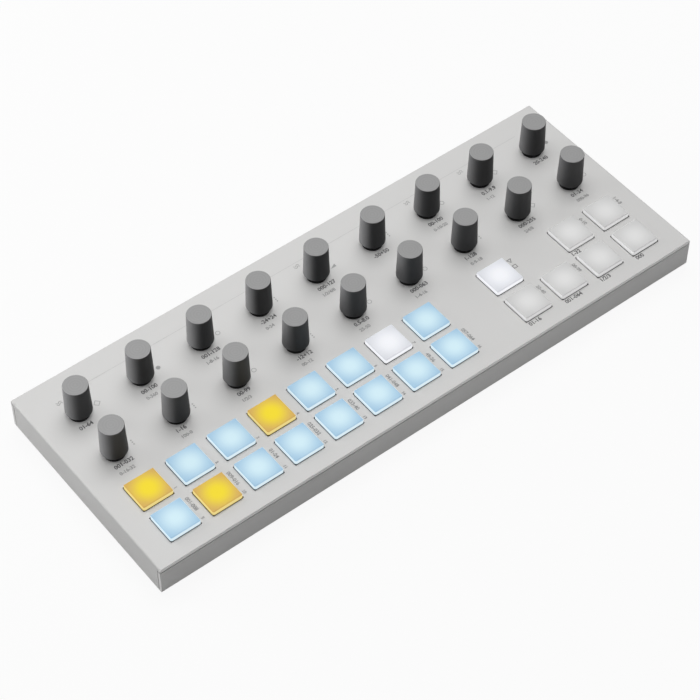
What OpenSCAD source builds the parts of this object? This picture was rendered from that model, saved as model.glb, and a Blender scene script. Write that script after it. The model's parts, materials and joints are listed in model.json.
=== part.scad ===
// Flat tabletop step sequencer: a folded sheet case with two rows of endless knobs and
// two rows of lit square keys. Millimetres, +X to the right, +Y to the rear, +Z up.
// The feet stand on Z = 0 and the case is centred on the Z axis.

/* [Case] */
// Width of the case, left to right
case_w = 370; // [360:1:460]
// Depth of the case, front to rear
case_d = 140; // [138:1:190]
// Height of the case without its feet
case_h = 20; // [16.5:0.5:30]
// Sheet thickness of the top cover and its two ends
cover_t = 2.5; // [1.6:0.1:3]
// Sheet thickness of the bottom tray
tray_t = 2; // [1.6:0.1:2.6]
// Outside radius of the bends in both sheets
bend_r = 1; // [0.4:0.1:1.5]
// Seam left open between the cover and the tray
seam = 0.45; // [0.1:0.05:0.6]

/* [Feet] */
// Radius of a rubber foot
foot_r = 6; // [4:0.5:8]
// Height of a rubber foot
foot_h = 2; // [1:0.5:6]
// Distance from the case's edges to the centre of a foot
foot_inset = 15; // [10:1:20]

/* [Panel layout] */
// Distance between two columns of keys
column_pitch = 26.75; // [22.5:0.25:27.5]
// Step keys in a row
step_columns = 8; // [4:1:8]
// Knobs in a row
knob_columns = 9; // [5:1:9]
// Distance from the front edge to the front row of keys
front_margin = 20.5; // [18:0.5:22]
// Distance between the two rows of keys
key_row_pitch = 24.5; // [23:0.5:26]
// Distance from the rear row of keys to the front row of knobs
knob_gap = 31.5; // [25:0.5:32]
// Distance between the two rows of knobs
knob_row_pitch = 33.65; // [28:0.05:34.5]

/* [Knobs] */
// Radius of a knob at its foot
knob_foot_r = 7.65; // [6.5:0.05:9.5]
// Radius of a knob at its top
knob_top_r = 7.05; // [6:0.05:9]
// Height of a knob
knob_h = 20.6; // [17:0.1:26]
// Gap between the panel and the foot of a knob
knob_lift = 3.6; // [3.2:0.1:5]
// Rounding of the edges of a knob
knob_edge_r = 0.3; // [0.2:0.1:1]
// Radius of the hollow under a knob
knob_hollow_r = 5.4; // [4.5:0.1:5.6]
// Depth of the hollow under a knob
knob_hollow_h = 2.5; // [2:0.1:4]
// Gap between a knob and the shaft it is pushed on
knob_fit = 0.04; // [0.01:0.01:0.1]
// Gap between the end of the shaft and the end of the bore in the knob
knob_end_gap = 0.5; // [0.2:0.1:1]

/* [Encoders] */
// Side of an encoder's square housing
encoder_side = 12; // [11:0.5:13]
// Height of an encoder from the board to its mounting face
encoder_h = 6.6; // [6.2:0.1:8]
// Thickness of the metal plate that closes the housing
plate_t = 0.8; // [0.5:0.1:1.2]
// Outside radius of the threaded bushing
bushing_r = 3.5; // [3.4:0.1:4]
// Length of the bushing above the mounting face
bushing_l = 7; // [5.5:0.5:8]
// Radius of an encoder's shaft
shaft_r = 3; // [2.4:0.1:3.1]
// Length of the shaft above the mounting face
shaft_l = 20; // [17:0.5:22]
// Depth of the flat on the shaft
shaft_flat = 1.5; // [0.5:0.1:2]
// Length of the flat on the shaft
shaft_flat_l = 12; // [8:0.5:13]
// Radius of the detent disc on the shaft
disc_r = 4.5; // [3.6:0.1:4.8]
// Thickness of the detent disc
disc_t = 1.2; // [0.8:0.1:1.6]
// Running clearance between the shaft and the bushing
shaft_clear = 0.05; // [0.02:0.01:0.1]
// Gap around the detent disc
disc_gap = 0.4; // [0.3:0.05:0.6]
// Hex nut, across its flats
nut_af = 10; // [9:0.5:12]
// Height of the hex nut
nut_h = 2; // [1.5:0.1:2.4]
// Outside radius of the washer under the nut
washer_r = 6; // [5:0.1:7]
// Thickness of the washer
washer_t = 0.5; // [0.3:0.1:0.8]
// Clearance of the bushing in the panel, the washer and the nut
bushing_clear = 0.1; // [0.05:0.05:0.3]

/* [Keys] */
// Side of a square key
key_side = 19.2; // [17:0.1:20]
// Height of the top of a key above the panel
key_rise = 2.8; // [1.5:0.1:4]
// Rounding of the upright corners of a key
key_corner_r = 1.2; // [0.8:0.1:2]
// Rounding of the top edges of a key
key_edge_r = 0.9; // [0.2:0.1:1]
// Wall thickness of a key
key_wall = 1.5; // [1:0.1:2.5]
// Gap between a key and the edge of its window
key_gap = 0.3; // [0.2:0.05:0.5]
// Rounding of the corners of a key's window
window_corner_r = 0.4; // [0.3:0.1:0.8]
// How far the flange of a key reaches under the panel
flange_w = 0.9; // [0.5:0.1:1]
// Thickness of that flange
flange_t = 1.2; // [0.8:0.1:1.5]
// Gap between the flange and the panel
flange_gap = 0.2; // [0.1:0.05:0.3]
// Travel of a key
key_travel = 1; // [0.5:0.1:1.1]

/* [Switches] */
// Side of a switch housing
switch_side = 12; // [10:0.5:14]
// Height of a switch housing
switch_h = 3.5; // [3:0.1:3.6]
// Depth of the ring slot in a switch housing
slot_h = 2.5; // [2.2:0.1:2.8]
// Outside radius of the ring plunger
plunger_r = 3.4; // [3:0.1:4.5]
// Wall thickness of the ring plunger
plunger_wall = 1; // [0.6:0.1:1.3]
// Gap around the plunger in its slot
plunger_gap = 0.3; // [0.2:0.05:0.4]
// Play between the plunger and the key that rests on it
plunger_play = 0.02; // [0.01:0.01:0.1]
// Thickness of the contact ring at the bottom of the slot
contact_t = 0.3; // [0.2:0.1:0.4]
// Side of the lamp in the middle of a switch
led_side = 2; // [1.2:0.1:2.4]
// Height of the lamp
led_h = 0.8; // [0.5:0.1:1]

/* [Board] */
// Thickness of the circuit board
board_t = 1.6; // [1:0.1:2]
// Gap between the board and the walls around it
board_gap = 1.5; // [1:0.1:3]
// Side of the processor chip
chip_side = 14; // [8:1:18]
// Height of the processor chip
chip_h = 1.4; // [1:0.1:2]
// Distance from the ends of the board to the outer standoffs
standoff_inset_x = 31; // [26:1:40]
// Distance from the front and rear of the board to the standoffs
standoff_inset_y = 6.5; // [5:0.5:8]
// Hex standoff, across its flats
standoff_af = 5.5; // [5:0.5:7]
// Radius of a screw
screw_r = 1.5; // [1:0.1:1.6]
// Radius of a screw's head
screw_head_r = 2.75; // [2.4:0.05:3.2]
// Height of the round head of a board screw
screw_head_h = 1.8; // [1.4:0.1:2.4]
// Hex socket in a screw's head, across its flats
screw_socket_af = 2; // [1.3:0.1:2.4]
// Depth of that socket
screw_socket_h = 1; // [0.6:0.1:1.2]
// Distance from the middle of a standoff to the end of each of its two screws
screw_end_gap = 0.5; // [0.2:0.1:1]
// Clearance around a screw
screw_clear = 0.1; // [0.05:0.05:0.2]

/* [Sockets] */
// Round sockets in the rear wall
jack_count = 6; // [2:1:7]
// Distance between two round sockets
jack_pitch = 18; // [12:0.5:20]
// Middle of the row of round sockets, across the case
jack_x = -70; // [-75:1:-65]
// Width of a round socket's housing
jack_w = 6.4; // [6:0.1:8]
// Height of a round socket's housing
jack_h = 5; // [4.8:0.1:5.8]
// Depth of a round socket's housing
jack_d = 13; // [12.5:0.5:16]
// Radius of the socket's nose in the bezel
jack_nose_r = 2.4; // [2.3:0.05:2.4]
// Radius of the socket's bore
jack_bore_r = 1.8; // [1.3:0.05:1.8]
// Length of the socket's bore
jack_bore_l = 13; // [10:0.5:13.5]
// Place of the flat socket, across the case
usb_x = 12; // [8:1:40]
// Width of the flat socket's shell
usb_w = 8.94; // [8:0.02:10]
// Height of the flat socket's shell
usb_h = 3.26; // [2.8:0.02:4]
// Depth of the flat socket's shell
usb_d = 7.35; // [6.5:0.05:9]
// Wall thickness of the flat socket's shell
usb_wall = 0.3; // [0.2:0.05:0.5]
// Width of the tongue in the flat socket
tongue_w = 6.7; // [5:0.1:6.8]
// Thickness of that tongue
tongue_t = 0.7; // [0.5:0.1:1]
// Length of that tongue
tongue_l = 4.45; // [3:0.05:5]
// How far the bezel around the sockets reaches past the outer ones
bezel_margin = 9; // [7:0.5:12]
// How far the bezel reaches below the sockets
bezel_sill = 1; // [0.6:0.1:2]
// How far the bezel's flange reaches behind the rear wall
bezel_flange_w = 1.5; // [1:0.1:2.5]
// Gap between the bezel's flange and the edge of the board
bezel_clear = 0.3; // [0.2:0.05:0.4]
// Gap between a socket and its hole in the bezel, and around the bezel in the rear wall
socket_gap = 0.15; // [0.1:0.05:0.3]
// How far the sockets stay behind the outer face of the rear wall
socket_recess = 0.1; // [0:0.05:0.5]

/* [Hidden] */
$fn = 64;
// Overlap that keeps cuts and joins clean
eps = 0.5;

// Heights: case bottom, tray floor, board top, mounting face under the panel, panel top
base_z = foot_h;
floor_z = base_z + tray_t;
panel_z = base_z + case_h;
mount_z = panel_z - cover_t;
board_z = mount_z - encoder_h;

// Inner faces of the ends and of the rear wall, and the board that fits between them
inner_x = case_w / 2 - cover_t;
inner_y = case_d / 2 - tray_t;
board_x = inner_x - board_gap;
board_y = inner_y - board_gap;

// Function keys in their block, as column and row, the first being the play key
function_places = [[0, 1], [2, 1], [3, 1], [0, 0], [1, 0], [2, 0], [3, 0]];
function_columns = 4;
// One column stays free between the step keys and the function keys
spare_columns = 1;
columns = step_columns + spare_columns + function_columns;
step_places = [for (row = [1, 0], c = [0 : step_columns - 1]) [c, row]];
key_places = concat(step_places, [for (p = function_places) p + [step_columns + spare_columns, 0]]);
play_key = len(step_places);

// Steps lit in yellow and in white: the other steps are blue and the function keys are dark
yellow_steps = [0, 3, step_columns + 1];
white_steps = [6, play_key];

function column_x(c) = (c - (columns - 1) / 2) * column_pitch;
function key_y(row) = front_margin - case_d / 2 + row * key_row_pitch;
knob_pitch = (columns - 1) * column_pitch / (knob_columns - 1);
function knob_x(i) = (i - (knob_columns - 1) / 2) * knob_pitch;
function knob_y(row) = key_y(1) + knob_gap + row * knob_row_pitch;

// Knob and shaft heights
knob_z = panel_z + knob_lift;
shaft_top = mount_z + shaft_l;
flat_z = shaft_top - shaft_flat_l;
cavity_r = disc_r + disc_gap;
disc_z = mount_z - plate_t - disc_gap - disc_t;
shaft_foot = disc_z - disc_gap;
cavity_z = shaft_foot - disc_gap;

// Key heights
window_side = key_side + 2 * key_gap;
key_top = panel_z + key_rise;
flange_top = mount_z - flange_gap;
key_foot = flange_top - flange_t;
slot_z = board_z + switch_h - slot_h;
plunger_z = slot_z + contact_t + plunger_gap + key_travel;
plunger_bore_r = plunger_r - plunger_wall;
pedestal_r = plunger_bore_r - plunger_gap;

// Standoffs between the tray and the board, and how far a screw goes into one
standoff_h = board_z - board_t - floor_z;
screw_depth = standoff_h / 2 - screw_end_gap;
standoff_xs = [-1, 0, 1] * (board_x - standoff_inset_x);
standoff_y = board_y - standoff_inset_y;

// Sockets
socket_y = case_d / 2 - socket_recess;
jack_z = board_z + jack_h / 2;
usb_z = board_z + usb_h / 2;
jack_xs = [for (i = [0 : jack_count - 1]) jack_x + (i - (jack_count - 1) / 2) * jack_pitch];

// Notch in the rear wall for the bezel, open at the top, and the back of the bezel's flange
wall_top = mount_z - seam;
notch_x = jack_xs[0] - bezel_margin;
notch_w = usb_x + bezel_margin - notch_x;
notch_z = board_z - bezel_sill;
bezel_back = inner_y - board_gap + bezel_clear;

function knob_name(row, i) = str(row == 0 ? "knob_front_" : "knob_rear_", i + 1);
function key_name(k) =
    k < play_key ? str("step_key_", k + 1)
    : k == play_key ? "play_key"
    : str("function_key_", k - play_key);

fixed_nodes = [
    "top_cover", "bottom_tray", "rubber_feet", "main_board", "processor_chip",
    "board_standoffs", "board_screws", "case_screws",
    "encoder_housings", "encoder_bushings", "encoder_washers", "encoder_nuts",
    "switch_housings", "switch_contacts", "key_lamps",
    "socket_bezel", "jack_housings", "usb_shell", "usb_tongue"
];
knob_nodes = [for (row = [1, 0], i = [0 : knob_columns - 1]) knob_name(row, i)];
key_nodes = [for (k = [0 : len(key_places) - 1]) key_name(k)];

// Shared outlines and patterns

module rounded_square(side, r) {
    square([side, side - 2 * r], center = true);
    square([side - 2 * r, side], center = true);
    for (x = [-1, 1], y = [-1, 1])
        translate([x, y] * (side / 2 - r)) circle(r);
}

// Section of a sheet folded down at both ends, standing on y = 0
module folded_section(w, h, t) {
    difference() {
        union() {
            translate([-w / 2, 0]) square([w, h - bend_r]);
            translate([bend_r - w / 2, 0]) square([w - 2 * bend_r, h]);
            for (s = [-1, 1])
                translate([s * (w / 2 - bend_r), h - bend_r]) circle(bend_r);
        }
        translate([t - w / 2, -eps]) square([w - 2 * t, h - t + eps]);
    }
}

// Section with its two upper edges rounded, standing on y = 0
module eased_section(w, h, r) {
    translate([-w / 2, 0]) square([w, h - r]);
    translate([r - w / 2, 0]) square([w - 2 * r, h]);
    for (s = [-1, 1])
        translate([s * (w / 2 - r), h - r]) circle(r);
}

// Section of a flat socket with round ends
module stadium(w, h) {
    square([w - h, h], center = true);
    for (s = [-1, 1])
        translate([s * (w - h) / 2, 0]) circle(h / 2);
}

module hex_prism(af, h) {
    cylinder(h = h, r = af / 2 / cos(30), $fn = 6);
}

module ring(outer, inner, h) {
    difference() {
        cylinder(h = h, r = outer);
        translate([0, 0, -eps]) cylinder(h = h + 2 * eps, r = inner);
    }
}

// Round section with one flat, for a shaft or, with a gap, for the bore that fits it
module flatted_section(gap) {
    r = shaft_r + gap;
    difference() {
        circle(r);
        translate([-r, shaft_r - shaft_flat + gap]) square([2 * r, r]);
    }
}

function arc(x, y, r, from, steps = 6) =
    [for (i = [0 : steps]) [x + r * cos(from + 90 * i / steps), y + r * sin(from + 90 * i / steps)]];

module at_knobs() {
    for (row = [0, 1], i = [0 : knob_columns - 1])
        translate([knob_x(i), knob_y(row), 0]) children();
}

module at_key(k) {
    translate([column_x(key_places[k][0]), key_y(key_places[k][1]), 0]) children();
}

module at_keys() {
    for (k = [0 : len(key_places) - 1])
        at_key(k) children();
}

module at_standoffs() {
    for (x = standoff_xs, s = [-1, 1])
        translate([x, s * standoff_y, 0]) children();
}

// Points a shape that is drawn in the XY plane out of the rear wall
module facing_rear(x, y, z) {
    translate([x, y, z]) rotate([90, 0, 0]) children();
}

// Case

module top_cover() {
    color("silver") difference() {
        translate([0, 0, base_z])
            rotate([90, 0, 0]) linear_extrude(case_d, center = true) folded_section(case_w, case_h, cover_t);
        translate([0, 0, mount_z - eps]) {
            at_knobs() cylinder(h = cover_t + 2 * eps, r = bushing_r + bushing_clear);
            at_keys() linear_extrude(cover_t + 2 * eps) rounded_square(window_side, window_corner_r);
        }
        // The ends stop short of the tray's front and rear walls
        for (front = [0, 1]) mirror([0, front, 0])
            translate([-case_w / 2 - eps, inner_y - seam, base_z - eps])
                cube([case_w + 2 * eps, tray_t + seam + eps, mount_z - base_z + eps]);
    }
}

module bottom_tray() {
    color("darkgray") difference() {
        translate([0, 0, wall_top]) mirror([0, 0, 1])
            rotate([90, 0, 90]) linear_extrude(case_w, center = true)
                folded_section(case_d, wall_top - base_z, tray_t);
        // The floor stops short of the cover's ends
        for (left = [0, 1]) mirror([left, 0, 0])
            translate([inner_x - seam, -inner_y, base_z - eps])
                cube([cover_t + seam + eps, 2 * inner_y, tray_t + 2 * eps]);
        translate([0, 0, base_z]) at_standoffs() {
            translate([0, 0, -eps]) cylinder(h = tray_t + 2 * eps, r = screw_r + screw_clear);
            countersunk_head(screw_clear);
        }
        translate([notch_x, inner_y - eps, notch_z])
            cube([notch_w, tray_t + 2 * eps, wall_top - notch_z + eps]);
    }
}

module rubber_feet() {
    color("dimgray")
        for (x = [-1, 1], y = [-1, 1])
            translate([x * (case_w / 2 - foot_inset), y * (case_d / 2 - foot_inset), 0])
                cylinder(h = foot_h, r = foot_r);
}

// Board and fasteners

module main_board() {
    color("darkgreen") translate([0, 0, board_z - board_t]) difference() {
        translate([-board_x, -board_y, 0]) cube([2 * board_x, 2 * board_y, board_t]);
        at_standoffs() translate([0, 0, -eps]) cylinder(h = board_t + 2 * eps, r = screw_r + screw_clear);
    }
}

module processor_chip() {
    chip_x = column_x(step_columns + (spare_columns - 1) / 2);
    chip_y = (key_y(0) + key_y(1)) / 2;
    color("black") translate([chip_x - chip_side / 2, chip_y - chip_side / 2, board_z])
        cube([chip_side, chip_side, chip_h]);
}

module board_standoffs() {
    color("gold") at_standoffs() translate([0, 0, floor_z]) difference() {
        hex_prism(standoff_af, standoff_h);
        translate([0, 0, -eps]) cylinder(h = standoff_h + 2 * eps, r = screw_r + screw_clear);
    }
}

module screw_socket() {
    hex_prism(screw_socket_af, screw_socket_h + eps);
}

module board_screws() {
    color("gray") at_standoffs() translate([0, 0, board_z]) difference() {
        union() {
            cylinder(h = screw_head_h, r = screw_head_r);
            translate([0, 0, -board_t - screw_depth]) cylinder(h = board_t + screw_depth + eps, r = screw_r);
        }
        translate([0, 0, screw_head_h - screw_socket_h]) screw_socket();
    }
}

// Conical head whose wide face lies on z = 0
module countersunk_head(gap) {
    cylinder(h = screw_head_r - screw_r, r1 = screw_head_r + gap, r2 = screw_r + gap);
}

module case_screws() {
    color("dimgray") at_standoffs() translate([0, 0, base_z]) difference() {
        union() {
            countersunk_head(0);
            cylinder(h = tray_t + screw_depth, r = screw_r);
        }
        translate([0, 0, -eps]) screw_socket();
    }
}

// Rotary encoders

module encoder_housings() {
    color("darkslategray") at_knobs() difference() {
        translate([-encoder_side / 2, -encoder_side / 2, board_z])
            cube([encoder_side, encoder_side, encoder_h - plate_t]);
        translate([0, 0, cavity_z]) cylinder(h = mount_z - cavity_z, r = cavity_r);
    }
}

module encoder_bushings() {
    color("lightgray") at_knobs() translate([0, 0, mount_z]) difference() {
        union() {
            translate([-encoder_side / 2, -encoder_side / 2, -plate_t])
                cube([encoder_side, encoder_side, plate_t]);
            translate([0, 0, -plate_t]) cylinder(h = plate_t + bushing_l, r = bushing_r);
        }
        translate([0, 0, -plate_t - eps])
            cylinder(h = plate_t + bushing_l + 2 * eps, r = shaft_r + shaft_clear);
    }
}

module encoder_washers() {
    color("dimgray") at_knobs() translate([0, 0, panel_z])
        ring(washer_r, bushing_r + bushing_clear, washer_t);
}

module encoder_nuts() {
    color("dimgray") at_knobs() translate([0, 0, panel_z + washer_t]) difference() {
        hex_prism(nut_af, nut_h);
        translate([0, 0, -eps]) cylinder(h = nut_h + 2 * eps, r = bushing_r + bushing_clear);
    }
}

// Shaft with its detent disc
module encoder_shaft() {
    translate([0, 0, shaft_foot]) cylinder(h = flat_z - shaft_foot, r = shaft_r);
    translate([0, 0, disc_z]) cylinder(h = disc_t, r = disc_r);
    translate([0, 0, flat_z]) linear_extrude(shaft_flat_l) flatted_section(0);
}

module knob_cap() {
    e = knob_edge_r;
    outline = concat(
        [[0, 0]],
        arc(knob_foot_r - e, e, e, -90),
        arc(knob_top_r - e, knob_h - e, e, 0),
        [[0, knob_h]]
    );
    difference() {
        translate([0, 0, knob_z]) rotate_extrude() polygon(outline);
        translate([0, 0, knob_z - eps]) cylinder(h = knob_hollow_h + eps, r = knob_hollow_r);
        translate([0, 0, knob_z - eps])
            cylinder(h = max(flat_z + knob_fit - knob_z, knob_hollow_h) + eps, r = shaft_r + knob_fit);
        translate([0, 0, flat_z]) linear_extrude(shaft_flat_l + knob_end_gap) flatted_section(knob_fit);
    }
}

module knob(row, i) {
    translate([knob_x(i), knob_y(row), 0]) {
        color("dimgray") knob_cap();
        color("lightgray") encoder_shaft();
    }
}

// Key switches

module switch_housings() {
    color("black") at_keys() translate([0, 0, board_z]) difference() {
        translate([-switch_side / 2, -switch_side / 2, 0]) cube([switch_side, switch_side, switch_h]);
        translate([0, 0, switch_h - slot_h]) ring(plunger_r + plunger_gap, pedestal_r, slot_h + eps);
    }
}

module switch_contacts() {
    color("gold") at_keys() translate([0, 0, slot_z]) ring(plunger_r, plunger_bore_r, contact_t);
}

module key_lamps() {
    color("white") at_keys() translate([-led_side / 2, -led_side / 2, board_z + switch_h])
        cube([led_side, led_side, led_h]);
}

// Solid block of a key with its upright corners and top edges rounded
module key_block() {
    h = key_top - key_foot;
    intersection() {
        linear_extrude(h) rounded_square(key_side, key_corner_r);
        rotate([90, 0, 0]) linear_extrude(key_side, center = true) eased_section(key_side, h, key_edge_r);
        rotate([90, 0, 90]) linear_extrude(key_side, center = true) eased_section(key_side, h, key_edge_r);
    }
}

module key_cap() {
    hollow_side = key_side - 2 * key_wall;
    hollow_h = key_top - key_wall - key_foot;
    reach = key_gap + flange_w;
    translate([0, 0, key_foot]) {
        difference() {
            union() {
                key_block();
                linear_extrude(flange_t) rounded_square(key_side + 2 * reach, key_corner_r + reach);
            }
            translate([-hollow_side / 2, -hollow_side / 2, -eps])
                cube([hollow_side, hollow_side, hollow_h + eps]);
        }
        ring(plunger_r, plunger_bore_r, hollow_h + key_wall / 2);
    }
}

module plunger() {
    translate([0, 0, plunger_z]) ring(plunger_r, plunger_bore_r, key_foot - plunger_play - plunger_z);
}

function is_in(k, list) = len(search(k, list)) > 0;
function key_colour(k) =
    is_in(k, white_steps) ? "white"
    : is_in(k, yellow_steps) ? "gold"
    : k < play_key ? "lightskyblue"
    : "gainsboro";

module key(k) {
    at_key(k) {
        color(key_colour(k)) key_cap();
        color("black") plunger();
    }
}

// Rear sockets

// Plate that fills the notch in the rear wall, with a flange behind that wall
module socket_bezel() {
    depth = socket_y - bezel_back;
    hole_d = depth + 2 * eps;
    back_t = inner_y - bezel_back;
    notch_h = wall_top - notch_z;
    color("black") difference() {
        union() {
            translate([notch_x + socket_gap, bezel_back, notch_z + socket_gap])
                cube([notch_w - 2 * socket_gap, depth, notch_h - socket_gap]);
            translate([notch_x - bezel_flange_w, bezel_back, notch_z - bezel_flange_w])
                cube([notch_w + 2 * bezel_flange_w, back_t, notch_h + bezel_flange_w]);
        }
        for (x = jack_xs)
            facing_rear(x, socket_y + eps, jack_z) cylinder(h = hole_d, r = jack_nose_r + socket_gap);
        facing_rear(usb_x, socket_y + eps, usb_z)
            linear_extrude(hole_d) stadium(usb_w + 2 * socket_gap, usb_h + 2 * socket_gap);
    }
}

module jack_housings() {
    color("black") for (x = jack_xs) difference() {
        union() {
            translate([x - jack_w / 2, bezel_back - jack_d, board_z]) cube([jack_w, jack_d, jack_h]);
            facing_rear(x, socket_y, jack_z) cylinder(h = socket_y - bezel_back + eps, r = jack_nose_r);
        }
        facing_rear(x, socket_y + eps, jack_z) cylinder(h = jack_bore_l + eps, r = jack_bore_r);
    }
}

module usb_shell() {
    color("lightgray") facing_rear(usb_x, socket_y, usb_z) difference() {
        linear_extrude(usb_d) stadium(usb_w, usb_h);
        translate([0, 0, -eps])
            linear_extrude(usb_d - usb_wall + eps) stadium(usb_w - 2 * usb_wall, usb_h - 2 * usb_wall);
    }
}

module usb_tongue() {
    color("black") translate([usb_x - tongue_w / 2, socket_y - usb_d + usb_wall, usb_z - tongue_t / 2])
        cube([tongue_w, tongue_l, tongue_t]);
}

top_cover();
bottom_tray();
rubber_feet();
main_board();
processor_chip();
board_standoffs();
board_screws();
case_screws();
encoder_housings();
encoder_bushings();
encoder_washers();
encoder_nuts();
switch_housings();
switch_contacts();
key_lamps();
socket_bezel();
jack_housings();
usb_shell();
usb_tongue();
for (row = [0, 1], i = [0 : knob_columns - 1])
    knob(row, i);
for (k = [0 : len(key_places) - 1])
    key(k);
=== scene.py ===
import json
import math

import bmesh
import bpy
from mathutils import Matrix, Vector


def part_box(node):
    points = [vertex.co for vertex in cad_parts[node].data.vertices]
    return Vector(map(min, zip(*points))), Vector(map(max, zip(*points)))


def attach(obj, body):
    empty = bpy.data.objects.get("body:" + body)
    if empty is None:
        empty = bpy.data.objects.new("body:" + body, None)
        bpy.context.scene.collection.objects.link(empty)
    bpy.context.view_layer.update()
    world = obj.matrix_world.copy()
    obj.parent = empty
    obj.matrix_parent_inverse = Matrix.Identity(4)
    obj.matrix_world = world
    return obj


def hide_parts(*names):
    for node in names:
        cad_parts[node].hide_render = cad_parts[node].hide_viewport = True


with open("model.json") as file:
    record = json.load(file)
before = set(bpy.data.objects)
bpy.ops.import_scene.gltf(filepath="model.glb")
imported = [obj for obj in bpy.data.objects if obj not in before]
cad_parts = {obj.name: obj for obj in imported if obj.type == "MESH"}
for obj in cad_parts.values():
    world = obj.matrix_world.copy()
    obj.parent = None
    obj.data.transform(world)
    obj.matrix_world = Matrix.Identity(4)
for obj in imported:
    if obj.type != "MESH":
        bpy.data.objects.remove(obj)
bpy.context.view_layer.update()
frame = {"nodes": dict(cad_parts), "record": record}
nodes = frame["nodes"]
scene = bpy.context.scene
scene.view_settings.view_transform = "Standard"
mm = 0.001
print("frame loaded:", len(nodes), "nodes")


def middle(node):
    low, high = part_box(node)
    return (low + high) / 2


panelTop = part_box("top_cover")[1].z
knobRows = {
    "rear": [f"knob_rear_{i}" for i in range(1, 10)],
    "front": [f"knob_front_{i}" for i in range(1, 10)],
}
stepKeys = [f"step_key_{i}" for i in range(1, 17)]
functionKeys = [f"function_key_{i}" for i in range(1, 7)]


# camera at the photograph's viewing angle
view = {
    "azimuth": -38.015,
    "elevation": 50.275,
    "distance": 1276.87 * mm,
    "target": Vector((-8.506, -1.441, 2.0)) * mm,
    "lens": 117.085,
    "sensor": 36.0,
    "nearest": 10 * mm,
}


def fromAngles(azimuth, elevation):
    a, e = math.radians(azimuth), math.radians(elevation)
    return Vector((math.sin(a) * math.cos(e), -math.cos(a) * math.cos(e), math.sin(e)))


def makeCamera():
    data = bpy.data.cameras.new("camera")
    data.lens = view["lens"]
    data.sensor_width = view["sensor"]
    data.clip_start = view["nearest"]
    back = fromAngles(view["azimuth"], view["elevation"])
    camera = bpy.data.objects.new("camera", data)
    camera.location = view["target"] + back * view["distance"]
    camera.rotation_euler = back.to_track_quat("Z", "Y").to_euler()
    scene.collection.objects.link(camera)
    scene.camera = camera


makeCamera()
print("camera placed")


# node helpers
def addNode(tree, kind, **settings):
    made = tree.nodes.new(kind)
    for name, value in settings.items():
        setattr(made, name, value)
    return made


def feed(tree, socket, value):
    # a socket is linked, a plain value is typed in
    if isinstance(value, bpy.types.NodeSocket):
        tree.links.new(value, socket)
    else:
        socket.default_value = value


def calc(tree, operation, a, b=0.0, clamp=False):
    made = addNode(tree, "ShaderNodeMath", operation=operation, use_clamp=clamp)
    feed(tree, made.inputs[0], a)
    feed(tree, made.inputs[1], b)
    return made.outputs[0]


def ramp(tree, value, low, high, start=0.0, end=1.0):
    made = addNode(tree, "ShaderNodeMapRange", interpolation_type="SMOOTHSTEP")
    feed(tree, made.inputs["Value"], value)
    for name, number in (("From Min", low), ("From Max", high), ("To Min", start), ("To Max", end)):
        feed(tree, made.inputs[name], number)
    return made.outputs["Result"]


def blendColour(tree, factor, a, b):
    made = addNode(tree, "ShaderNodeMix", data_type="RGBA")
    feed(tree, made.inputs["Factor"], factor)
    feed(tree, made.inputs["A"], a)
    feed(tree, made.inputs["B"], b)
    return made.outputs["Result"]


def scaleColour(tree, colour, factor):
    made = addNode(tree, "ShaderNodeVectorMath", operation="SCALE")
    made.inputs[0].default_value = colour
    feed(tree, made.inputs["Scale"], factor)
    return made.outputs[0]


def split(tree, vector):
    made = addNode(tree, "ShaderNodeSeparateXYZ")
    feed(tree, made.inputs[0], vector)
    return made.outputs


def fromMiddle(tree, coords):
    # distance from a piece's upright middle line, as a share of the piece's width
    across = split(tree, coords.outputs["Generated"])
    squares = []
    for axis in ("X", "Y"):
        offset = calc(tree, "SUBTRACT", across[axis], 0.5)
        squares.append(calc(tree, "POWER", calc(tree, "ABSOLUTE", offset), 2.0))
    return calc(tree, "SQRT", calc(tree, "ADD", *squares))


def newGroup(name, inputs, outputs):
    group = bpy.data.node_groups.new(name, "ShaderNodeTree")
    for label, value in inputs.items():
        socket = group.interface.new_socket(label, in_out="INPUT", socket_type="NodeSocketFloat")
        socket.default_value = value
    for label in outputs:
        group.interface.new_socket(label, in_out="OUTPUT", socket_type="NodeSocketFloat")
    return group, group.nodes.new("NodeGroupInput"), group.nodes.new("NodeGroupOutput")


def placeGroup(tree, group, values):
    made = addNode(tree, "ShaderNodeGroup", node_tree=group)
    for label, value in values.items():
        made.inputs[label].default_value = value
    return made


# fine blasted or moulded grain over slow cloudy changes of tone
grainNoise = {
    "inputs": {"Grain Scale": 4000.0, "Grain Tone": 0.03, "Cloud Scale": 25.0, "Cloud Tone": 0.02},
    "detail": 2.0,
}


def makeGrain():
    group, start, end = newGroup("surfaceGrain", grainNoise["inputs"], ("Tone", "Height"))
    place = addNode(group, "ShaderNodeTexCoord").outputs["Object"]
    heights = {}
    for label in ("Grain", "Cloud"):
        noise = addNode(group, "ShaderNodeTexNoise")
        feed(group, noise.inputs["Vector"], place)
        feed(group, noise.inputs["Scale"], start.outputs[label + " Scale"])
        noise.inputs["Detail"].default_value = grainNoise["detail"]
        heights[label] = noise.outputs["Fac"]
    tone = 1.0
    for label, height in heights.items():
        offset = calc(group, "SUBTRACT", height, 0.5)
        swing = calc(group, "MULTIPLY", offset, start.outputs[label + " Tone"])
        tone = calc(group, "ADD", swing, tone)
    feed(group, end.inputs["Tone"], tone)
    feed(group, end.inputs["Height"], heights["Grain"])
    return group


# light that spreads inside a key: brightest over the lamp and in the walls, none below the panel; the
# walls' glow is partly painted light that stands in for light falling on them
glowSpread = {
    "inputs": {"Core": 0.08, "Reach": 0.5, "Panel": 0.022},
    "wallFacing": (0.93, 0.3),  # upward part of the normal where the walls' light begins, and is full
    "fadeIn": 0.5 * mm,  # height above the panel at which the light is full
}


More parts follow.
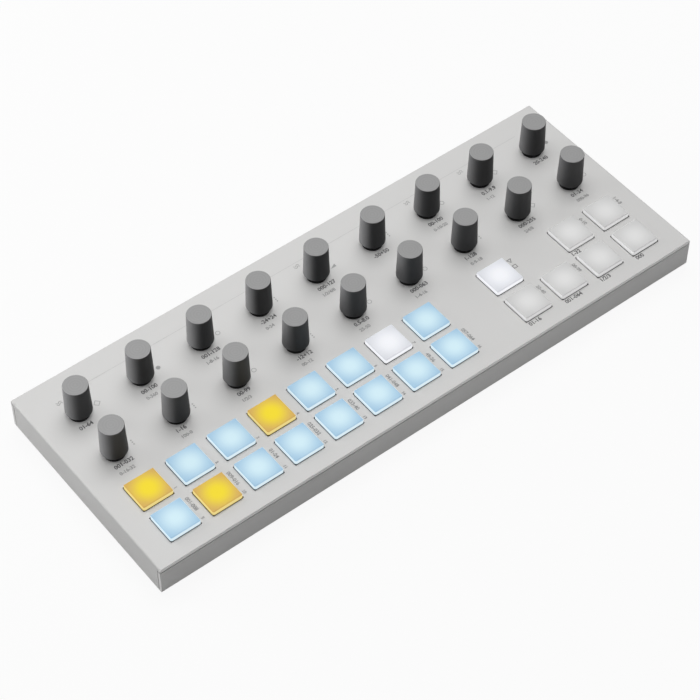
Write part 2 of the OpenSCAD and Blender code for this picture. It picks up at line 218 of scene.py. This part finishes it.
def makeGlow():
    group, start, end = newGroup("keyGlow", glowSpread["inputs"], ("Glow", "Wall", "Lit"))
    coords = addNode(group, "ShaderNodeTexCoord")
    glow = ramp(group, fromMiddle(group, coords), start.outputs["Reach"], start.outputs["Core"])
    feed(group, end.inputs["Glow"], glow)
    upward = split(group, coords.outputs["Normal"])["Z"]
    feed(group, end.inputs["Wall"], ramp(group, upward, *glowSpread["wallFacing"]))
    height = split(group, coords.outputs["Object"])["Z"]
    above = calc(group, "SUBTRACT", height, start.outputs["Panel"])
    feed(group, end.inputs["Lit"], ramp(group, above, 0.0, glowSpread["fadeIn"]))
    return group


# fine turning marks round the middle of a piece, on faces that look up
ringMarks = {
    "inputs": {"Width": 0.015, "Pitch": 0.0006},
    "facing": (0.9, 0.99),  # upward part of the normal where the marks begin, and are full
}


def makeRings():
    group, start, end = newGroup("turnedRings", ringMarks["inputs"], ("Height",))
    coords = addNode(group, "ShaderNodeTexCoord")
    radius = calc(group, "MULTIPLY", fromMiddle(group, coords), start.outputs["Width"])
    turns = calc(group, "DIVIDE", calc(group, "MULTIPLY", radius, 2 * math.pi), start.outputs["Pitch"])
    upward = ramp(group, split(group, coords.outputs["Normal"])["Z"], *ringMarks["facing"])
    feed(group, end.inputs["Height"], calc(group, "MULTIPLY", calc(group, "SINE", turns), upward))
    return group


surfaceGrain = makeGrain()
keyGlow = makeGlow()
turnedRings = makeRings()


def newMaterial(name, look):
    material = bpy.data.materials.new(name)
    material.use_nodes = True
    shader = material.node_tree.nodes["Principled BSDF"]
    for socket, value in look.items():
        shader.inputs[socket].default_value = value
    return material, material.node_tree, shader


def addBump(tree, shader, height, strength, distance):
    bump = addNode(tree, "ShaderNodeBump")
    bump.inputs["Strength"].default_value = strength
    bump.inputs["Distance"].default_value = distance
    feed(tree, bump.inputs["Height"], height)
    if shader.inputs["Normal"].links:
        feed(tree, bump.inputs["Normal"], shader.inputs["Normal"].links[0].from_socket)
    feed(tree, shader.inputs["Normal"], bump.outputs["Normal"])


def bounceDimmedForShade(tree, share):
    # 1 for what is seen, less for the light that is passed on to neighbours: painted shade, the colour is
    # dimmed for bounced light only
    path = addNode(tree, "ShaderNodeLightPath")
    lost = calc(tree, "MULTIPLY", path.outputs["Is Diffuse Ray"], 1.0 - share)
    return calc(tree, "SUBTRACT", 1.0, lost)


def grained(name, finish):
    # colour and roughness both follow the grain
    material, tree, shader = newMaterial(name, finish["look"])
    grain = placeGroup(tree, surfaceGrain, finish["grain"])
    tone = grain.outputs["Tone"]
    if "bounceShareForShade" in finish:
        # painted shade: the colour is dimmed for bounced light only, so little of its light lands on what
        # stands beside it, and the knobs' sides and the gaps under them look darker
        tone = calc(tree, "MULTIPLY", tone, bounceDimmedForShade(tree, finish["bounceShareForShade"]))
    if "rings" in finish:
        marks = finish["rings"]
        placed = placeGroup(tree, turnedRings, {"Width": marks["width"], "Pitch": marks["pitch"]})
        rings = placed.outputs["Height"]
        swing = calc(tree, "ADD", calc(tree, "MULTIPLY", rings, marks["tone"]), 1.0)
        tone = calc(tree, "MULTIPLY", tone, swing)
        addBump(tree, shader, rings, marks["bump"], marks["depth"])
    feed(tree, shader.inputs["Base Color"], scaleColour(tree, finish["colour"], tone))
    rough = calc(tree, "MULTIPLY", grain.outputs["Tone"], finish["roughness"], clamp=True)
    feed(tree, shader.inputs["Roughness"], rough)
    addBump(tree, shader, grain.outputs["Height"], finish["bump"], finish["depth"])
    return material


finishes = {
    "anodised_sheet": {
        "colour": (0.63, 0.627, 0.62), "roughness": 0.6, "bump": 0.25, "depth": 0.02 * mm,
        # the last entry is painted shade: the share of the colour that bounced light keeps
        "look": {"Metallic": 0.2, "Specular IOR Level": 0.3}, "bounceShareForShade": 0.06,
        "grain": {"Grain Scale": 3500.0, "Grain Tone": 0.06, "Cloud Scale": 14.0, "Cloud Tone": 0.025},
    },
    "cut_edge": {
        "colour": (0.62, 0.617, 0.61), "roughness": 0.45, "bump": 0.2, "depth": 0.01 * mm,
        "look": {"Metallic": 0.4},
        "grain": {"Grain Scale": 2200.0, "Grain Tone": 0.08, "Cloud Scale": 40.0, "Cloud Tone": 0.03},
    },
    "knob_plastic": {
        "colour": (0.17, 0.17, 0.172), "roughness": 0.55, "bump": 0.25, "depth": 0.02 * mm,
        "look": {"Specular IOR Level": 0.06},
        "grain": {"Grain Scale": 5000.0, "Grain Tone": 0.12, "Cloud Scale": 120.0, "Cloud Tone": 0.06},
    },
    # the top face is a lighter grey than the knob's sides: partly a turned face finish, partly painted
    # light from above
    "knob_face": {
        "colour": (0.272, 0.272, 0.272), "roughness": 0.45, "bump": 0.2, "depth": 0.02 * mm,
        "look": {"Specular IOR Level": 0.4},
        "rings": {"width": 15.3 * mm, "pitch": 1.6 * mm, "tone": 0.025, "bump": 0.5, "depth": 0.02 * mm},
        "grain": {"Grain Scale": 5000.0, "Grain Tone": 0.08, "Cloud Scale": 120.0, "Cloud Tone": 0.05},
    },
    "foot_rubber": {
        "colour": (0.028, 0.028, 0.03), "roughness": 0.8, "bump": 0.5, "depth": 0.05 * mm,
        "look": {"Specular IOR Level": 0.35},
        "grain": {"Grain Scale": 2500.0, "Grain Tone": 0.2, "Cloud Scale": 90.0, "Cloud Tone": 0.15},
    },
    "black_plastic": {
        "colour": (0.022, 0.022, 0.023), "roughness": 0.5, "bump": 0.4, "depth": 0.03 * mm,
        "look": {"Specular IOR Level": 0.5},
        "grain": {"Grain Scale": 3000.0, "Grain Tone": 0.15, "Cloud Scale": 80.0, "Cloud Tone": 0.1},
    },
    "steel": {
        "colour": (0.58, 0.575, 0.56), "roughness": 0.28, "bump": 0.1, "depth": 0.01 * mm,
        "look": {"Metallic": 1.0},
        "grain": {"Grain Scale": 2500.0, "Grain Tone": 0.12, "Cloud Scale": 150.0, "Cloud Tone": 0.08},
    },
    # near black: partly blackened steel, partly painted shade, so the nuts and washers under the knobs
    # fill the gap there with dark
    "black_steel": {
        "colour": (0.03, 0.03, 0.031), "roughness": 0.4, "bump": 0.15, "depth": 0.01 * mm,
        "look": {"Metallic": 0.8},
        "grain": {"Grain Scale": 2500.0, "Grain Tone": 0.2, "Cloud Scale": 150.0, "Cloud Tone": 0.15},
    },
    "brass": {
        "colour": (0.72, 0.52, 0.22), "roughness": 0.3, "bump": 0.1, "depth": 0.01 * mm,
        "look": {"Metallic": 1.0},
        "grain": {"Grain Scale": 2500.0, "Grain Tone": 0.12, "Cloud Scale": 120.0, "Cloud Tone": 0.1},
    },
    "lamp_white": {
        "colour": (0.86, 0.85, 0.8), "roughness": 0.25, "bump": 0.05, "depth": 0.01 * mm,
        "look": {"Coat Weight": 0.3},
        "grain": {"Grain Scale": 1500.0, "Grain Tone": 0.05, "Cloud Scale": 300.0, "Cloud Tone": 0.05},
    },
    "board_laminate": {
        "colour": (0.015, 0.085, 0.04), "roughness": 0.35, "bump": 0.2, "depth": 0.03 * mm,
        "look": {"Coat Weight": 0.4},
        "grain": {"Grain Scale": 1200.0, "Grain Tone": 0.25, "Cloud Scale": 60.0, "Cloud Tone": 0.2},
    },
    "dark_ink": {
        "colour": (0.135, 0.135, 0.137), "roughness": 0.6, "bump": 0.2, "depth": 0.01 * mm,
        "look": {"Specular IOR Level": 0.3},
        "grain": {"Grain Scale": 4000.0, "Grain Tone": 0.2, "Cloud Scale": 100.0, "Cloud Tone": 0.1},
    },
    "faint_ink": {
        "colour": (0.45, 0.45, 0.45), "roughness": 0.6, "bump": 0.2, "depth": 0.01 * mm,
        "look": {"Specular IOR Level": 0.3},
        "grain": {"Grain Scale": 4000.0, "Grain Tone": 0.15, "Cloud Scale": 100.0, "Cloud Tone": 0.1},
    },
    "pale_ink": {
        "colour": (0.355, 0.355, 0.355), "roughness": 0.6, "bump": 0.2, "depth": 0.01 * mm,
        "look": {"Specular IOR Level": 0.3},
        "grain": {"Grain Scale": 4000.0, "Grain Tone": 0.15, "Cloud Scale": 100.0, "Cloud Tone": 0.1},
    },
}
materials = {name: grained(name, finish) for name, finish in finishes.items()}

# translucent keys: the surface that all of them share
keyFinish = {
    "look": {"Roughness": 0.42, "Specular IOR Level": 0.2, "Emission Strength": 1.0},
    "grain": {"Grain Scale": 3000.0, "Grain Tone": 0.04, "Cloud Tone": 0.0},
    # the last entry is painted shade: the share of the glow that bounced light keeps
    "bump": 0.15, "depth": 0.02 * mm, "bounceShareForShade": 0.12,
}
# colour of the plastic, and of the light in its middle, towards its rim and in its walls; the walls' light
# is partly painted light, and all of the unlit key's glow is painted light
keyLights = {
    "key_blue": {
        "plastic": (0.22, 0.30, 0.36), "middle": (0.46, 0.60, 0.64),
        "rim": (0.195, 0.34, 0.475), "wall": (0.68, 0.81, 0.87), "core": 0.06, "reach": 0.60,
    },
    "key_yellow": {
        "plastic": (0.34, 0.22, 0.012), "middle": (0.62, 0.52, 0.004),
        "rim": (0.38, 0.23, 0.09), "wall": (0.78, 0.64, 0.25), "core": 0.10, "reach": 0.60,
    },
    "key_white": {
        "plastic": (0.42, 0.43, 0.45), "middle": (0.58, 0.585, 0.61),
        "rim": (0.37, 0.38, 0.41), "wall": (0.85, 0.86, 0.89), "core": 0.06, "reach": 0.62,
    },
    # this key's lamp is off, so its glow in the middle, rim and walls is painted light: a lighter middle
    # and painted highlights on its walls
    "key_unlit": {
        "plastic": (0.70, 0.70, 0.695), "middle": (0.20, 0.20, 0.20),
        "rim": (0.06, 0.06, 0.06), "wall": (0.58, 0.58, 0.58), "core": 0.05, "reach": 0.56,
    },
}


def opaque(colour):
    return (*colour, 1.0)


def keyMaterial(name, light):
    material, tree, shader = newMaterial(name, keyFinish["look"])
    values = {"Core": light["core"], "Reach": light["reach"], "Panel": panelTop}
    glow = placeGroup(tree, keyGlow, values).outputs
    top = blendColour(tree, glow["Glow"], opaque(light["rim"]), opaque(light["middle"]))
    # painted light, in part: the walls glow brighter to stand in for light falling on them
    whole = blendColour(tree, glow["Wall"], top, opaque(light["wall"]))
    dark = opaque((0.0, 0.0, 0.0))
    # painted shade: the glow is dimmed for bounced light, so the keys light what stands beside them less
    shown = calc(tree, "MULTIPLY", glow["Lit"], bounceDimmedForShade(tree, keyFinish["bounceShareForShade"]))
    feed(tree, shader.inputs["Emission Color"], blendColour(tree, shown, dark, whole))
    grain = placeGroup(tree, surfaceGrain, keyFinish["grain"]).outputs
    feed(tree, shader.inputs["Base Color"], scaleColour(tree, light["plastic"], grain["Tone"]))
    addBump(tree, shader, grain["Height"], keyFinish["bump"], keyFinish["depth"])
    return material


for name, light in keyLights.items():
    materials[name] = keyMaterial(name, light)
print("materials made:", len(materials))


# finishes of the CAD nodes
for part in frame["record"]["subparts"]:
    mesh = nodes[part["node"]].data
    mesh.materials.clear()
    mesh.materials.append(materials[part["material_slot"]])

# faces that differ from the rest of their node
faceDepths = {
    "cutEdge": 0.1 * mm,  # faces this near to the end of a sheet are its cut edge
    "endFace": 0.05 * mm,  # the same for the end of a jack and the top of a knob
    "knobCap": 20.6 * mm,  # below its cap, a knob's node is the shaft
    "shaftReach": 4.8 * mm,  # the detent disc is the widest part of a shaft
    "keyFoot": 4.0 * mm,  # this far below the panel, a key's node is the plunger
    "plungerReach": 3.6 * mm,
}


def secondFinish(node, material, wanted):
    mesh = nodes[node].data
    mesh.materials.append(materials[material])
    for face in mesh.polygons:
        if wanted(face.center):
            face.material_index = len(mesh.materials) - 1


def inner(node, foot, reach):
    # a test for what lies below the foot and within reach of the node's axis
    axis = middle(node)
    return lambda at: at.z < foot and math.hypot(at.x - axis.x, at.y - axis.y) < reach


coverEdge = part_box("top_cover")[1].y - faceDepths["cutEdge"]
secondFinish("top_cover", "cut_edge", lambda at: abs(at.y) > coverEdge)
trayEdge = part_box("bottom_tray")[1].x - faceDepths["cutEdge"]
secondFinish("bottom_tray", "cut_edge", lambda at: abs(at.x) > trayEdge)
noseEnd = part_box("jack_housings")[1].y - faceDepths["endFace"]
secondFinish("jack_housings", "steel", lambda at: at.y > noseEnd)
for name in knobRows["rear"] + knobRows["front"]:
    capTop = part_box(name)[1].z
    # a lighter top face: partly painted light from above
    secondFinish(name, "knob_face", lambda at: at.z > capTop - faceDepths["endFace"])
    secondFinish(name, "steel", inner(name, capTop - faceDepths["knobCap"], faceDepths["shaftReach"]))
for name in stepKeys + functionKeys + ["play_key"]:
    plunger = inner(name, panelTop - faceDepths["keyFoot"], faceDepths["plungerReach"])
    secondFinish(name, "black_plastic", plunger)
print("finishes given to the nodes")


# mesh helpers
def addPiece(name, mesh, material, body="case"):
    piece = bpy.data.objects.new(name, mesh)
    scene.collection.objects.link(piece)
    mesh.materials.append(materials[material])
    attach(piece, body)
    return piece


def finishMesh(name, work):
    bmesh.ops.remove_doubles(work, verts=work.verts, dist=1e-7)
    bmesh.ops.recalc_face_normals(work, faces=work.faces)
    mesh = bpy.data.meshes.new(name)
    work.to_mesh(mesh)
    work.free()
    return mesh


# printed marks: plain numbers and simple signs, a thin film on the panel
prints = {
    "film": 0.03 * mm,
    "labelHeight": 2.6 * mm,
    "smallHeight": 2.2 * mm,
    "markHeight": 1.8 * mm,
    "figureShare": 0.72,  # height of the figures as a share of the type's size
    "boldness": 0.07,
    "curveSteps": 3,
    "labelLeft": 5.9 * mm,
    "labelDrop": {"rear": 9.1 * mm, "front": 8.5 * mm},
    "paleDrop": 5.0 * mm,
    "sideMark": 11.4 * mm,
    "waveMark": Vector((-4.7, 12.4)) * mm,
    "keyMark": Vector((12.3, -7.0)) * mm,
    "keyWord": Vector((12.9, 3.8)) * mm,
    "keyTurn": -90.0,
    "functionLeft": 9.4 * mm,
    "functionDrop": 11.9 * mm,
    "playMarks": (Vector((12.9, 6.7)) * mm, Vector((12.7, 1.5)) * mm),
    "playRadius": 1.6 * mm,
    "lineY": 55.3 * mm,
    "lineWidth": 0.16 * mm,
}
# small signs beside the knobs: line width, radii and counts, and forms in millimetres
signs = {
    "outline": 0.38 * mm,
    "sharpest": 0.3,  # keeps the mitre of a sharp corner short
    "diamond": 1.95 * mm,
    "round": 1.3 * mm,
    "roundSides": 24,
    "bead": 0.45 * mm,
    "beadSides": 12,
    "beadPitch": 1.5 * mm,
    "wedge": ((-2.0, -1.1), (2.0, -1.1), (2.0, 1.1)),
    "wave": {"points": 13, "step": 0.3, "start": -1.8, "swing": 0.5, "pace": 2.1, "lifts": (-0.65, 0.65)},
}
knobLabels = {
    "rear": ["01-64", "00-100", "001-128", "-24+24", "000-127", "-50+50", "00-100", "0.1-9.9", "20-240"],
    "front": ["001-032", "1-16", "00-99", "-12+12", "0.5-8.0", "000-063", "1-128", "000-255", "01-24"],
}
knobPaleLabels = {
    "rear": ["", "0-360", "1-8-16", "0-24", "1/2/4/8", "", "0-10-20", "1-12", ""],
    "front": ["0-16-32", "100-0", "1/2/3", "00-12", "25-50", "1-4-16", "0-9-18", "2/4/8", "000-96"],
}
knobSigns = {
    "rear": ["diamond", "dot", "ring", "beads", "wedge", "beads", "ring", "diamond", "dot"],
    "front": ["beads", "beads", "ring", "beads", "ring", "ring", "beads", "diamond", "ring"],
}
waveKnobs = ("knob_rear_1", "knob_rear_5", "knob_rear_7", "knob_rear_8")
stepMarks = ["1", "2", "3", "4", "5", "6", "7", "", "9", "10", "11", "12", "13", "14", "15", "16"]
stepLabels = [""] * 8 + ["001-008", "009-016", "01-24", "025-032", "033-40", "041-048", "49-56", "057-064"]
functionLabels = ["1-32", "", "01-16", "001-064", "1/2/3", "000"]
functionPaleLabels = ["0-10", "1-4-8", "20-40", "00-99", "", ""]


def textMesh(words, height):
    curve = bpy.data.curves.new("print", "FONT")
    curve.body = words
    curve.size = height / prints["figureShare"]
    curve.offset = height * prints["boldness"] / 2
    curve.resolution_u = prints["curveSteps"]
    holder = bpy.data.objects.new("print", curve)
    scene.collection.objects.link(holder)
    bpy.context.view_layer.update()
    ready = holder.evaluated_get(bpy.context.evaluated_depsgraph_get())
    mesh = bpy.data.meshes.new_from_object(ready)
    bpy.data.objects.remove(holder)
    return mesh


def addText(work, words, height, x, y, turn=0.0, centred=True):
    # x is the middle of the words, or their left end
    if not words:
        return
    mesh = textMesh(words, height)
    left = min(v.co.x for v in mesh.vertices)
    right = max(v.co.x for v in mesh.vertices)
    start = (left + right) / 2 if centred else left
    toOrigin = Matrix.Translation((-start, -height / 2, 0))
    place = Matrix.Translation((x, y, panelTop)) @ Matrix.Rotation(math.radians(turn), 4, "Z")
    mesh.transform(place @ toOrigin)
    work.from_mesh(mesh)
    bpy.data.meshes.remove(mesh)


def addOutline(work, points, width, closed=True):
    # a line of even width along the points, with mitred corners
    count = len(points)
    sides = []
    for i, point in enumerate(points):
        before = points[i - 1] if closed or i > 0 else point
        after = points[(i + 1) % count] if closed or i < count - 1 else point
        into = (point - before).normalized() if before != point else (after - point).normalized()
        out = (after - point).normalized() if after != point else into
        normal = Vector((-(into + out).y, (into + out).x)).normalized()
        reach = width / 2 / max(signs["sharpest"], normal.dot(Vector((-into.y, into.x))))
        sides.append([work.verts.new((*(point + normal * s * reach), panelTop)) for s in (1, -1)])
    for i in range(count if closed else count - 1):
        a, b = sides[i], sides[(i + 1) % count]
        work.faces.new((a[0], a[1], b[1], b[0]))


def addFilled(work, points):
    work.faces.new([work.verts.new((*p, panelTop)) for p in points])


def ringPoints(centre, radius, count, turn=0.0):
    angles = [math.radians(turn) + 2 * math.pi * i / count for i in range(count)]
    return [centre + Vector((math.cos(a), math.sin(a))) * radius for a in angles]


def wavePoints(centre, lift):
    wave = signs["wave"]
    steps = [i * wave["step"] + wave["start"] for i in range(wave["points"])]
    return [centre + Vector((t, lift + wave["swing"] * math.sin(t * wave["pace"]))) * mm for t in steps]


def addSign(work, kind, centre):
    if kind == "diamond":
        addOutline(work, ringPoints(centre, signs["diamond"], 4), signs["outline"])
    elif kind == "dot":
        addFilled(work, ringPoints(centre, signs["round"], signs["roundSides"]))
    elif kind == "ring":
        addOutline(work, ringPoints(centre, signs["round"], signs["roundSides"]), signs["outline"])
    elif kind == "wave":
        for lift in signs["wave"]["lifts"]:
            addOutline(work, wavePoints(centre, lift), signs["outline"], False)
    elif kind == "wedge":
        addFilled(work, [centre + Vector(p) * mm for p in signs["wedge"]])
    elif kind == "beads":
        for step in (-1, 0, 1):
            bead = centre + Vector((0, step * signs["beadPitch"]))
            addFilled(work, ringPoints(bead, signs["bead"], signs["beadSides"]))


def printKnobs(dark, pale):
    for row, names in knobRows.items():
        for i, name in enumerate(names):
            at = middle(name).xy
            left = at.x - prints["labelLeft"]
            y = at.y - prints["labelDrop"][row]
            addText(dark, knobLabels[row][i], prints["labelHeight"], left, y, centred=False)
            below = y - prints["paleDrop"]
            addText(pale, knobPaleLabels[row][i], prints["smallHeight"], left, below, centred=False)
            addSign(pale, knobSigns[row][i], at + Vector((prints["sideMark"], 0)))
            if name in waveKnobs:
                addSign(pale, "wave", at + prints["waveMark"])


def printKeys(dark, pale):
    turn = prints["keyTurn"]
    for i, name in enumerate(stepKeys):
        at = middle(name).xy
        addText(pale, stepMarks[i], prints["markHeight"], *(at + prints["keyMark"]), turn)
        addText(pale, stepLabels[i], prints["smallHeight"], *(at + prints["keyWord"]), turn)
    for i, name in enumerate(functionKeys):
        at = middle(name).xy
        left = at.x - prints["functionLeft"]
        below = at.y - prints["functionDrop"]
        addText(dark, functionLabels[i], prints["labelHeight"], left, below, centred=False)
        addText(pale, functionPaleLabels[i], prints["smallHeight"], *(at + prints["keyWord"]), turn)
    start, stop = (middle("play_key").xy + mark for mark in prints["playMarks"])
    addOutline(dark, ringPoints(start, prints["playRadius"], 3, -90), signs["outline"])
    addOutline(dark, ringPoints(stop, prints["playRadius"], 4, 45), signs["outline"])


def thicken(work, film):
    made = bmesh.ops.extrude_face_region(work, geom=list(work.faces))
    raised = [v for v in made["geom"] if isinstance(v, bmesh.types.BMVert)]
    bmesh.ops.translate(work, vec=(0, 0, film), verts=raised)


def printPanel():
    dark, pale, faint = bmesh.new(), bmesh.new(), bmesh.new()
    printKnobs(dark, pale)
    printKeys(dark, pale)
    ends = [middle(knobRows["rear"][i]).x for i in (0, -1)]
    addOutline(faint, [Vector((x, prints["lineY"])) for x in ends], prints["lineWidth"], False)
    for ink, work in (("dark", dark), ("pale", pale), ("faint", faint)):
        thicken(work, prints["film"])
        name = "panel_print_" + ink
        addPiece(name, finishMesh(name, work), ink + "_ink")


printPanel()
print("panel printed")


# turned pieces: a profile of radius and height, spun round an upright axis
def spin(work, profile, centre, count):
    angles = [2 * math.pi * i / count for i in range(count)]
    rings = []
    for radius, height in profile:
        at = centre + Vector((0, 0, height))
        if radius:
            spokes = [Vector((math.cos(a), math.sin(a), 0)) * radius for a in angles]
            rings.append([work.verts.new(at + spoke) for spoke in spokes])
        else:
            rings.append([work.verts.new(at)])
    for lower, upper in zip(rings, rings[1:]):
        for i in range(count):
            corners = [lower[i % len(lower)], lower[(i + 1) % len(lower)],
                       upper[(i + 1) % len(upper)], upper[i % len(upper)]]
            unique = list(dict.fromkeys(corners))
            if len(unique) > 2:
                work.faces.new(unique)


# rubber feet with a rounded rim and a shallow dish underneath
foot = {
    "radius": 6.0 * mm, "height": 2.0 * mm, "rim": 0.6 * mm, "rimSteps": 6,
    "dish": 0.5 * mm, "dishRadius": 3.6 * mm, "dishSlope": 0.5 * mm,
    "sides": 48, "sharpAngle": 40.0,
}


def footProfile():
    outer, rim, dish = foot["radius"], foot["rim"], foot["dishRadius"]
    under = [(0.0, foot["dish"]), (dish, foot["dish"]), (dish + foot["dishSlope"], 0.0)]
    turns = [math.pi / 2 * i / foot["rimSteps"] for i in range(foot["rimSteps"] + 1)]
    bend = [(outer - rim + rim * math.sin(a), rim - rim * math.cos(a)) for a in turns]
    return under + bend + [(outer, foot["height"]), (0.0, foot["height"])]


def makeFeet():
    low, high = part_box("rubber_feet")
    work = bmesh.new()
    for x in (low.x + foot["radius"], high.x - foot["radius"]):
        for y in (low.y + foot["radius"], high.y - foot["radius"]):
            spin(work, footProfile(), Vector((x, y, low.z)), foot["sides"])
    mesh = finishMesh("soft_feet", work)
    for face in mesh.polygons:
        face.use_smooth = True
    mesh.set_sharp_from_angle(angle=math.radians(foot["sharpAngle"]))
    feet = addPiece("soft_feet", mesh, "foot_rubber")
    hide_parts("rubber_feet")


makeFeet()
print("feet made")


# stage: a pale floor that keeps a soft shadow, and a surround that looks white but gives little light
stage = {
    "size": 6.0, "colour": (0.75, 0.75, 0.75), "roughness": 0.9, "surround": (0.035, 0.035, 0.036),
    "whiteness": 0.93, "fade": (0.25, 0.9),  # between these distances the floor goes over to pure white
}


def seenPlainly(tree):
    # 1 for rays that show the background: from the camera, in gloss or through glass
    path = addNode(tree, "ShaderNodeLightPath")
    seen = calc(tree, "MAXIMUM", path.outputs["Is Camera Ray"], path.outputs["Is Glossy Ray"])
    return calc(tree, "MAXIMUM", seen, path.outputs["Is Transmission Ray"])


def makeFloor():
    mesh = bpy.data.meshes.new("floor")
    half = stage["size"] / 2
    corners = [(-half, -half, 0), (half, -half, 0), (half, half, 0), (-half, half, 0)]
    mesh.from_pydata(corners, [], [(0, 1, 2, 3)])
    floor = bpy.data.objects.new("floor", mesh)
    scene.collection.objects.link(floor)
    look = {"Base Color": opaque(stage["colour"]), "Roughness": stage["roughness"]}
    material, tree, shader = newMaterial("floor", look)
    white = addNode(tree, "ShaderNodeEmission")
    mix = addNode(tree, "ShaderNodeMixShader")
    away = addNode(tree, "ShaderNodeVectorMath", operation="LENGTH")
    feed(tree, away.inputs[0], addNode(tree, "ShaderNodeTexCoord").outputs["Object"])
    whiteness = ramp(tree, away.outputs["Value"], *stage["fade"], stage["whiteness"], 1.0)
    feed(tree, mix.inputs["Fac"], calc(tree, "MULTIPLY", seenPlainly(tree), whiteness))
    tree.links.new(shader.outputs["BSDF"], mix.inputs[1])
    tree.links.new(white.outputs["Emission"], mix.inputs[2])
    tree.links.new(mix.outputs["Shader"], tree.nodes["Material Output"].inputs["Surface"])
    mesh.materials.append(material)


def makeSurround():
    world = bpy.data.worlds.new("surround")
    world.use_nodes = True
    tree = world.node_tree
    white = opaque((1.0, 1.0, 1.0))
    colour = blendColour(tree, seenPlainly(tree), opaque(stage["surround"]), white)
    feed(tree, tree.nodes["Background"].inputs["Color"], colour)
    scene.world = world


# soft boxes: direction from the object as azimuth and elevation, distance, size and power
# the knobs don't stop a lamp with "pastKnobs", and one with "columns" lights only the knobs there
lamps = {
    "above": {"azimuth": 145.0, "elevation": 76.0, "distance": 1.5, "size": 1.1, "power": 9.0},
    "fill": {
        "azimuth": 145.0, "elevation": 76.0, "distance": 1.5, "size": 1.1, "power": 8.0,
        "pastKnobs": True,
    },
    "left": {"azimuth": -138.0, "elevation": 14.0, "distance": 0.85, "size": 0.45, "power": 2.9},
    "knobsLeft": {
        "azimuth": -120.0, "elevation": 14.0, "distance": 2.0, "size": 0.8, "power": 36.0,
        "columns": (0, 1, 2),
    },
    "knobsMiddle": {
        "azimuth": -136.0, "elevation": 11.5, "distance": 2.0, "size": 0.8, "power": 38.0,
        "columns": (3, 4, 5),
    },
    "knobsRight": {
        "azimuth": -155.0, "elevation": 21.0, "distance": 2.0, "size": 0.8, "power": 23.0,
        "columns": (6, 7, 8),
    },
}


def nodeGroup(name, members):
    group = bpy.data.collections.new(name)
    for member in members:
        group.objects.link(nodes[member])
    return group


def makeLamps():
    for name, lamp in lamps.items():
        data = bpy.data.lights.new(name, "AREA")
        data.shape = "SQUARE"
        data.size = lamp["size"]
        data.energy = lamp["power"]
        light = bpy.data.objects.new(name, data)
        direction = fromAngles(lamp["azimuth"], lamp["elevation"])
        light.location = view["target"] + direction * lamp["distance"]
        light.rotation_euler = direction.to_track_quat("Z", "Y").to_euler()
        scene.collection.objects.link(light)
        if "columns" in lamp:
            lit = [row[column] for row in knobRows.values() for column in lamp["columns"]]
            light.light_linking.receiver_collection = nodeGroup(name + "Lit", lit)
        if "pastKnobs" in lamp:
            solid = [node for node in nodes if not node.startswith("knob")]
            light.light_linking.blocker_collection = nodeGroup(name + "Blocked", solid)


makeFloor()
makeSurround()
makeLamps()
print("stage and lamps placed")
